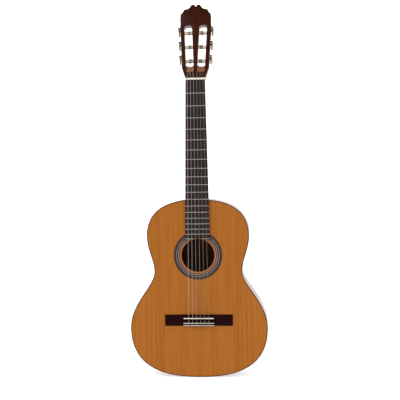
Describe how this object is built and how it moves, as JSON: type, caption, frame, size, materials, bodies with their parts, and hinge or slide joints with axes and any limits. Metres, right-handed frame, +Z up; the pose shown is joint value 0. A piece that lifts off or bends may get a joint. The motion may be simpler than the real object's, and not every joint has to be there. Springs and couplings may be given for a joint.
{
  "type": "classical guitar",
  "caption": "Full-size classical guitar with a cedar soundboard, slotted head, geared tuning machines and nylon strings.",
  "frame": {"origin": "middle of the flat outer face of the end graft, at the tail of the body", "axes": "+Z up the neck from the tail to the head; the soundboard faces -Y; +X to the right of someone facing the soundboard, so the thick bass string is on the -X side"},
  "size_m": [0.378, 0.1125, 1.0288],
  "materials": {
    "cedar_top": "clear gloss over fine straight grain",
    "rosette_inlay": "fine ring mosaic under gloss",
    "body_mahogany": "gloss",
    "dark_binding": "gloss",
    "inner_cedro": "bare wood",
    "rosewood": "satin",
    "brace_spruce": "bare wood",
    "bone_white": "polished bone",
    "neck_mahogany": "satin",
    "head_rosewood": "gloss",
    "fingerboard_dark": "oiled",
    "nickel": "polished",
    "fret_nickel_silver": "polished",
    "string_wound": "wound metal",
    "string_nylon": "clear nylon",
    "roller_ivory": "ivory plastic",
    "button_pearl": "pearl plastic"
  },
  "bodies": {
    "root": {"soundboard": "cedar_top", "rosette": "rosette_inlay", "back_plate": "body_mahogany", "side_bass": "body_mahogany", "side_treble": "body_mahogany", "top_binding": "dark_binding", "back_binding": "dark_binding", "top_lining": "inner_cedro", "back_lining": "inner_cedro", "end_graft": "rosewood", "tail_block": "inner_cedro", "soundboard_bracing": "brace_spruce", "back_bracing": "brace_spruce", "bridge": "rosewood", "saddle": "bone_white", "nut": "bone_white", "neck": "neck_mahogany", "headstock": "neck_mahogany", "head_veneer": "head_rosewood", "fingerboard": "fingerboard_dark", "machine_plate_bass": "nickel", "machine_plate_treble": "nickel", "fret_01": "fret_nickel_silver", "fret_02": "fret_nickel_silver", "fret_03": "fret_nickel_silver", "fret_04": "fret_nickel_silver", "fret_05": "fret_nickel_silver", "fret_06": "fret_nickel_silver", "fret_07": "fret_nickel_silver", "fret_08": "fret_nickel_silver", "fret_09": "fret_nickel_silver", "fret_10": "fret_nickel_silver", "fret_11": "fret_nickel_silver", "fret_12": "fret_nickel_silver", "fret_13": "fret_nickel_silver", "fret_14": "fret_nickel_silver", "fret_15": "fret_nickel_silver", "fret_16": "fret_nickel_silver", "fret_17": "fret_nickel_silver", "fret_18": "fret_nickel_silver", "fret_19_bass": "fret_nickel_silver", "fret_19_treble": "fret_nickel_silver", "string_e6": "string_wound", "string_a5": "string_wound", "string_d4": "string_wound", "string_g3": "string_nylon", "string_b2": "string_nylon", "string_e1": "string_nylon"},
    "roller_e6": {"roller_e6": "roller_ivory"},
    "knob_e6": {"knob_e6": "button_pearl"},
    "roller_a5": {"roller_a5": "roller_ivory"},
    "knob_a5": {"knob_a5": "button_pearl"},
    "roller_d4": {"roller_d4": "roller_ivory"},
    "knob_d4": {"knob_d4": "button_pearl"},
    "roller_g3": {"roller_g3": "roller_ivory"},
    "knob_g3": {"knob_g3": "button_pearl"},
    "roller_b2": {"roller_b2": "roller_ivory"},
    "knob_b2": {"knob_b2": "button_pearl"},
    "roller_e1": {"roller_e1": "roller_ivory"},
    "knob_e1": {"knob_e1": "button_pearl"}
  },
  "joints": [
    {"name": "knob_e6_turn", "type": "hinge", "parent": "root", "child": "knob_e6", "pos_m": [-0.04261, -0.02535, 0.87723], "axis": [0, -0.9659, 0.2588], "continuous": true},
    {"name": "roller_e6_turn", "type": "hinge", "parent": "root", "child": "roller_e6", "pos_m": [-0.03723, -0.02797, 0.86746], "axis": [0.9989, 0.0122, 0.0453], "continuous": true},
    {"name": "knob_a5_turn", "type": "hinge", "parent": "root", "child": "knob_a5", "pos_m": [-0.04455, -0.01467, 0.91707], "axis": [0, -0.9659, 0.2588], "continuous": true},
    {"name": "roller_a5_turn", "type": "hinge", "parent": "root", "child": "roller_a5", "pos_m": [-0.03917, -0.01729, 0.90731], "axis": [0.9989, 0.0122, 0.0453], "continuous": true},
    {"name": "knob_d4_turn", "type": "hinge", "parent": "root", "child": "knob_d4", "pos_m": [-0.04651, -0.00389, 0.95731], "axis": [0, -0.9659, 0.2588], "continuous": true},
    {"name": "roller_d4_turn", "type": "hinge", "parent": "root", "child": "roller_d4", "pos_m": [-0.04113, -0.00651, 0.94755], "axis": [0.9989, 0.0122, 0.0453], "continuous": true},
    {"name": "knob_g3_turn", "type": "hinge", "parent": "root", "child": "knob_g3", "pos_m": [0.04651, -0.00389, 0.95731], "axis": [0, -0.9659, 0.2588], "continuous": true},
    {"name": "roller_g3_turn", "type": "hinge", "parent": "root", "child": "roller_g3", "pos_m": [0.04113, -0.00651, 0.94755], "axis": [0.9989, -0.0122, -0.0453], "continuous": true},
    {"name": "knob_b2_turn", "type": "hinge", "parent": "root", "child": "knob_b2", "pos_m": [0.04455, -0.01467, 0.91707], "axis": [0, -0.9659, 0.2588], "continuous": true},
    {"name": "roller_b2_turn", "type": "hinge", "parent": "root", "child": "roller_b2", "pos_m": [0.03917, -0.01729, 0.90731], "axis": [0.9989, -0.0122, -0.0453], "continuous": true},
    {"name": "knob_e1_turn", "type": "hinge", "parent": "root", "child": "knob_e1", "pos_m": [0.04261, -0.02535, 0.87723], "axis": [0, -0.9659, 0.2588], "continuous": true},
    {"name": "roller_e1_turn", "type": "hinge", "parent": "root", "child": "roller_e1", "pos_m": [0.03723, -0.02797, 0.86746], "axis": [0.9989, -0.0122, -0.0453], "continuous": true}
  ],
  "couplings": [
    {"joint": "roller_e6_turn", "follows": "knob_e6_turn", "ratio": -0.071429},
    {"joint": "roller_a5_turn", "follows": "knob_a5_turn", "ratio": -0.071429},
    {"joint": "roller_d4_turn", "follows": "knob_d4_turn", "ratio": -0.071429},
    {"joint": "roller_g3_turn", "follows": "knob_g3_turn", "ratio": -0.071429},
    {"joint": "roller_b2_turn", "follows": "knob_b2_turn", "ratio": -0.071429},
    {"joint": "roller_e1_turn", "follows": "knob_e1_turn", "ratio": -0.071429}
  ]
}
